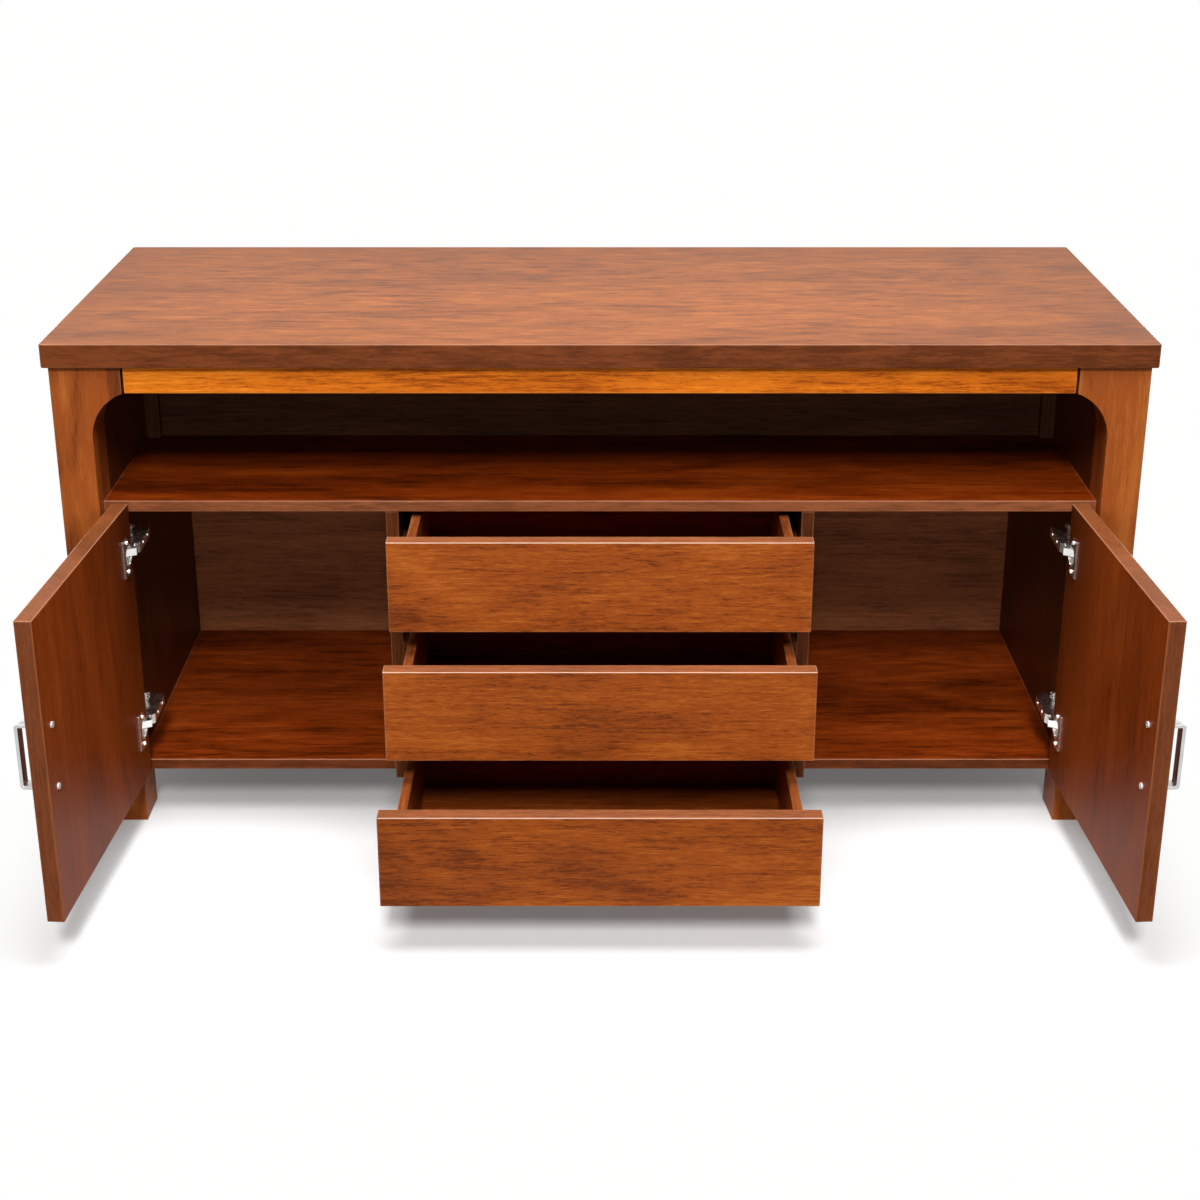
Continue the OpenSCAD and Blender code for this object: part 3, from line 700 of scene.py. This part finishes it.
@dataclass
class Handle:
    """A flat strip bent to a bar handle, its long edges eased, bored for two screws from behind."""

    side: str
    turn: float
    strip: float = 0.0053
    bend: float = 0.0055
    bend_steps: int = 8
    fillet: float = 0.0015
    fillet_steps: int = 4
    ease: float = 0.0007
    ease_steps: int = 3
    ease_above: float = 50.0
    smooth_below: float = 30.0
    bore: float = 0.0038
    bore_sides: int = 32
    depth: float = 0.012

    def bar(self, half: Vector) -> bpy.types.Object:
        """The strip with its two legs, its face to the front, its middle at the origin.

        Args:
            half: half of its width, of its reach and of its height.

        Returns:
            The shaped mesh.
        """
        bpy.ops.object.select_all(action="DESELECT")
        bpy.ops.mesh.primitive_cube_add(size=1.0)
        piece = bpy.context.object
        piece.name = f"bar_handle_{self.side}"
        bpy.ops.object.mode_set(mode="EDIT")
        bpy.ops.transform.resize(value=(2 * half.x, self.strip, 2 * half.z))
        bpy.ops.transform.translate(value=(0.0, self.strip / 2 - half.y, 0.0))
        leg = half.z - self.strip
        for height in (-leg, leg):
            bpy.ops.mesh.select_all(action="SELECT")
            bpy.ops.mesh.bisect(plane_co=(0.0, 0.0, height), plane_no=(0.0, 0.0, 1.0))
        pick(piece, "FACE", lambda f: f.normal.y > SQUARE and abs(f.calc_center_median().z) > leg)
        reach = (0.0, 2 * half.y - self.strip, 0.0)
        bpy.ops.mesh.extrude_region_move(TRANSFORM_OT_translate={"value": reach})
        self.round_corners(piece, half, -half.y, half.z, (self.bend, self.bend_steps))
        self.round_corners(piece, half, self.strip - half.y, leg, (self.fillet, self.fillet_steps))
        bpy.ops.object.mode_set(mode="OBJECT")
        return piece

    def round_corners(self, piece: bpy.types.Object, half: Vector, deep: float, height: float,
                      corner: tuple[float, int]) -> None:
        """Rounds the two edges that run across the strip at one depth and height, above and below.

        Args:
            piece: the strip, in edit mode.
            half: half of its width, of its reach and of its height.
            deep: where the edges lie from front to back.
            height: how far above and below the middle they lie.
            corner: radius and number of steps.
        """
        def at_corner(vertex: Any) -> bool:
            """Whether a vertex lies on one of the two edges."""
            return abs(vertex.co.y - deep) < TOUCH and abs(abs(vertex.co.z) - height) < TOUCH

        pick(piece, "EDGE", lambda e: all(at_corner(v) for v in e.verts)
             and abs(e.verts[0].co.x - e.verts[1].co.x) > half.x)
        radius, steps = corner
        bpy.ops.mesh.bevel(offset=radius, segments=steps)

    def finish(self, piece: bpy.types.Object, half: Vector) -> None:
        """Eases the long edges and bores the two legs.

        Args:
            piece: the bent strip.
            half: half of its width, of its reach and of its height.
        """
        ease = piece.modifiers.new("ease", "BEVEL")
        ease.width = self.ease
        ease.segments = self.ease_steps
        ease.limit_method = "ANGLE"
        ease.angle_limit = math.radians(self.ease_above)
        bpy.ops.object.modifier_apply(modifier="ease")
        for end in (-1, 1):
            place = (0.0, half.y, end * (half.z - self.strip / 2))
            bpy.ops.mesh.primitive_cylinder_add(
                vertices=self.bore_sides, radius=self.bore / 2, depth=2 * self.depth,
                location=place, rotation=(math.pi / 2, 0.0, 0.0))
            drill = bpy.context.object
            bpy.ops.object.select_all(action="DESELECT")
            piece.select_set(True)
            bpy.context.view_layer.objects.active = piece
            hole = piece.modifiers.new("hole", "BOOLEAN")
            hole.operation = "DIFFERENCE"
            hole.object = drill
            bpy.ops.object.modifier_apply(modifier="hole")
            bpy.data.objects.remove(drill)
        bpy.ops.object.shade_smooth_by_angle(angle=math.radians(self.smooth_below))

    def build(self) -> bpy.types.Object:
        """Makes the handle in its place on the open door.

        Returns:
            The finished piece.
        """
        angle = math.radians(self.turn)
        middle, half = board_box(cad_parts[f"handle_{self.side}"], angle)
        piece = self.bar(half)
        self.finish(piece, half)
        piece.location = Matrix.Rotation(angle, 3, "Z") @ middle
        piece.rotation_euler = (0.0, 0.0, angle)
        bpy.ops.object.transform_apply(location=True, rotation=True, scale=True)
        SATIN.dress(piece)
        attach(piece, f"door_{self.side}_body")
        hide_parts(f"handle_{self.side}")
        log.info("made %s", piece.name)
        return piece


@dataclass
class Door:
    """One door with its hinges and handle."""

    side: str
    turn: float = 93.5

    @property
    def sign(self) -> int:
        """1 on the right and -1 on the left."""
        return 1 if self.side == "right" else -1

    def dress(self) -> None:
        """Stains the door and plates its fittings."""
        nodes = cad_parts
        DOOR_STAIN.dress(nodes[f"door_{self.side}"], Grain.TALL, math.radians(self.turn) * self.sign)
        for name in ("hinge_cups", "cup_screws", "hinge_arms", "arm_screws", "outer_links"):
            NICKEL.dress(nodes[f"{name}_{self.side}"])
        for name in ("hinge_plates", "handle_screws"):
            PLATE.dress(nodes[f"{name}_{self.side}"])
        SATIN.dress(nodes[f"handle_{self.side}"])
        Handle(self.side, self.turn * self.sign).build()
        log.info("dressed the %s door", self.side)


@dataclass(frozen=True)
class Lamp:
    """A soft rectangular lamp that faces one point."""

    name: str
    place: Triple
    aim: Triple
    size: Span
    watts: float

    def build(self) -> None:
        """Hangs the lamp."""
        data = bpy.data.lights.new(self.name, "AREA")
        data.shape = "RECTANGLE"
        data.size, data.size_y = self.size
        data.energy = self.watts
        lamp = bpy.data.objects.new(self.name, data)
        lamp.location = self.place
        way = Vector(self.aim) - Vector(self.place)
        lamp.rotation_euler = way.to_track_quat("-Z", "Y").to_euler()
        bpy.context.scene.collection.objects.link(lamp)


LAMPS = (
    Lamp("front", (0.0, -6.4, 6.3), (0.0, 0.0, 0.4), (1.2, 2.0), 555.0),
    Lamp("low", (0.0, -6.0, 0.9), (0.0, 0.0, 0.3), (0.8, 0.6), 62.0),
    Lamp("rear", (-3.6, 4.2, 1.1), (0.0, 0.0, 0.4), (2.4, 1.4), 100.0),
    Lamp("rear", (3.6, 4.2, 1.1), (0.0, 0.0, 0.4), (2.4, 1.4), 100.0),
    Lamp("above", (0.0, -0.65, 2.7), (0.0, -0.65, 0.0), (1.8, 1.3), 61.0),
)


@dataclass(frozen=True)
class Paper:
    """The floor's tones and the distances over which they change, in metres.

    The sheet has its own tones near the object and a shaded one under the case, and further off
    it glows as white as the backdrop. The light that it throws back has a tone of its own.
    """

    tones: tuple[Colour, Colour] = ((0.84, 0.84, 0.838), (0.85, 0.85, 0.848))
    shaded: Colour = (0.36, 0.36, 0.358)
    far: Colour = (0.87, 0.87, 0.868)
    thrown: Colour = (0.4, 0.4, 0.4)
    glow: Colour = (1.0, 1.0, 0.995)
    lift: float = 0.12
    extent: float = 24.0
    object_half: Span = (0.74, 0.5)
    case_half: Span = (0.68, 0.17)
    case_back: float = 0.2
    shade_fades: float = 0.22
    tone_fades: float = 0.2
    thrown_fades: float = 1.4
    sheet_ends: float = 0.28


@dataclass
class Studio:
    """Floor, backdrop, lamps and camera.

    The camera's place is measured from the floor below the front legs' faces, which stand at
    front. Its pitch is in degrees, its focal length and the row of its axis in pixels of the
    photograph, and its sensor in millimetres.
    """

    front: float = -0.0997
    eye: Triple = (0.0, -2.8132, 1.6128)
    pitch: float = 20.5
    pixels: float = 1947.4
    frame_pixels: float = 1200.0
    axis_row: float = 500.0
    sensor: float = 36.0
    sight: float = 50.0
    fill: float = 0.02
    paper: Paper = Paper()

    def camera(self) -> None:
        """Places the camera as the photograph was taken."""
        data = bpy.data.cameras.new("view")
        data.sensor_width = self.sensor
        data.lens = self.sensor * self.pixels / self.frame_pixels
        data.shift_y = (self.axis_row - self.frame_pixels / 2) / self.frame_pixels
        data.clip_end = self.sight
        seat = bpy.data.objects.new("view", data)
        seat.location = Vector(self.eye) + Vector((0.0, self.front, 0.0))
        seat.rotation_euler = (math.radians(90.0 - self.pitch), 0.0, 0.0)
        bpy.context.scene.collection.objects.link(seat)
        bpy.context.scene.camera = seat

    def shown(self, shader: Shader) -> Sock:
        """Tells what is looked at from what only throws light back.

        Args:
            shader: the nodes of the backdrop or the floor.

        Returns:
            1 for what the camera and gloss see, and 0 for light that bounces.
        """
        seen = shader.node("ShaderNodeLightPath", out="Is Camera Ray")
        outputs = seen.link.node.outputs
        gloss = Sock(shader, outputs["Is Glossy Ray"]).most(Sock(shader, outputs["Is Transmission Ray"]))
        return seen.most(gloss)

    def sky(self) -> None:
        """A white backdrop for the view and for gloss, and a dim even light."""
        world = bpy.data.worlds.new("studio")
        bpy.context.scene.world = world
        world.use_nodes = True
        shader = Shader("backdrop", world.node_tree)
        strength = self.shown(shader) * (1.0 - self.fill) + self.fill
        values = {"Color": (*self.paper.glow, 1.0), "Strength": strength}
        glow = shader.node("ShaderNodeBackground", None, values)
        shader.node("ShaderNodeOutputWorld", None, {"Surface": glow})

    def floor(self) -> None:
        """A pale floor that keeps the object's shadow and is plain white further off."""
        paper = self.paper
        bpy.ops.object.select_all(action="DESELECT")
        bpy.ops.mesh.primitive_plane_add(size=paper.extent, location=(0.0, 0.0, 0.0))
        plane = bpy.context.object
        plane.name = "floor"
        shader = Shader("floor_paper")
        coords = shader.node("ShaderNodeTexCoord", out="Object")
        wide, deep, _ = shader.split(coords)
        off = (wide.size() - paper.object_half[0]).most(deep.size() - paper.object_half[1]).most(0.0)
        behind = (deep - paper.case_back).size() - paper.case_half[1]
        from_case = (wide.size() - paper.case_half[0]).most(behind)
        shown = self.shown(shader)
        tint = shader.mix(shader.noise(coords, detail=2.0), *paper.tones)
        tint = shader.mix(from_case.ramp(0.0, paper.shade_fades), paper.shaded, tint)
        tint = shader.mix(off.ramp(0.0, paper.tone_fades), tint, paper.far)
        thrown = shader.mix(off.ramp(0.0, paper.thrown_fades), paper.thrown, paper.far)
        tint = shader.mix(shown, thrown, tint)
        sheet = shader.node("ShaderNodeBsdfDiffuse", None, {"Color": tint})
        white = (*paper.glow, 1.0)
        lifted = shader.node("ShaderNodeEmission", None, {"Color": white, "Strength": shown * paper.lift})
        near = shader.node("ShaderNodeAddShader", None, {0: sheet, 1: lifted})
        far = shader.node("ShaderNodeEmission", None, {"Color": white, "Strength": shown})
        share = off.ramp(0.0, paper.sheet_ends)
        both = shader.node("ShaderNodeMixShader", None, {0: share, 1: near, 2: far})
        shader.node("ShaderNodeOutputMaterial", None, {"Surface": both})
        plane.data.materials.append(shader.material)

    def build(self) -> None:
        """Sets up the whole studio."""
        self.camera()
        self.sky()
        self.floor()
        for lamp in LAMPS:
            lamp.build()
        log.info("set up the studio with %d lamps", len(LAMPS))


def main() -> None:
    """Builds the scene in order."""
    logging.basicConfig(level=logging.INFO, format="%(message)s")
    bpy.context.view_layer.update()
    bpy.context.scene.view_settings.view_transform = "Standard"
    Carcass().dress()
    TopBoard().build()
    for number in (1, 2, 3):
        Drawer(number).dress()
    for side in SIDES:
        Door(side).dress()
    Studio().build()


if __name__ == "__main__":
    main()
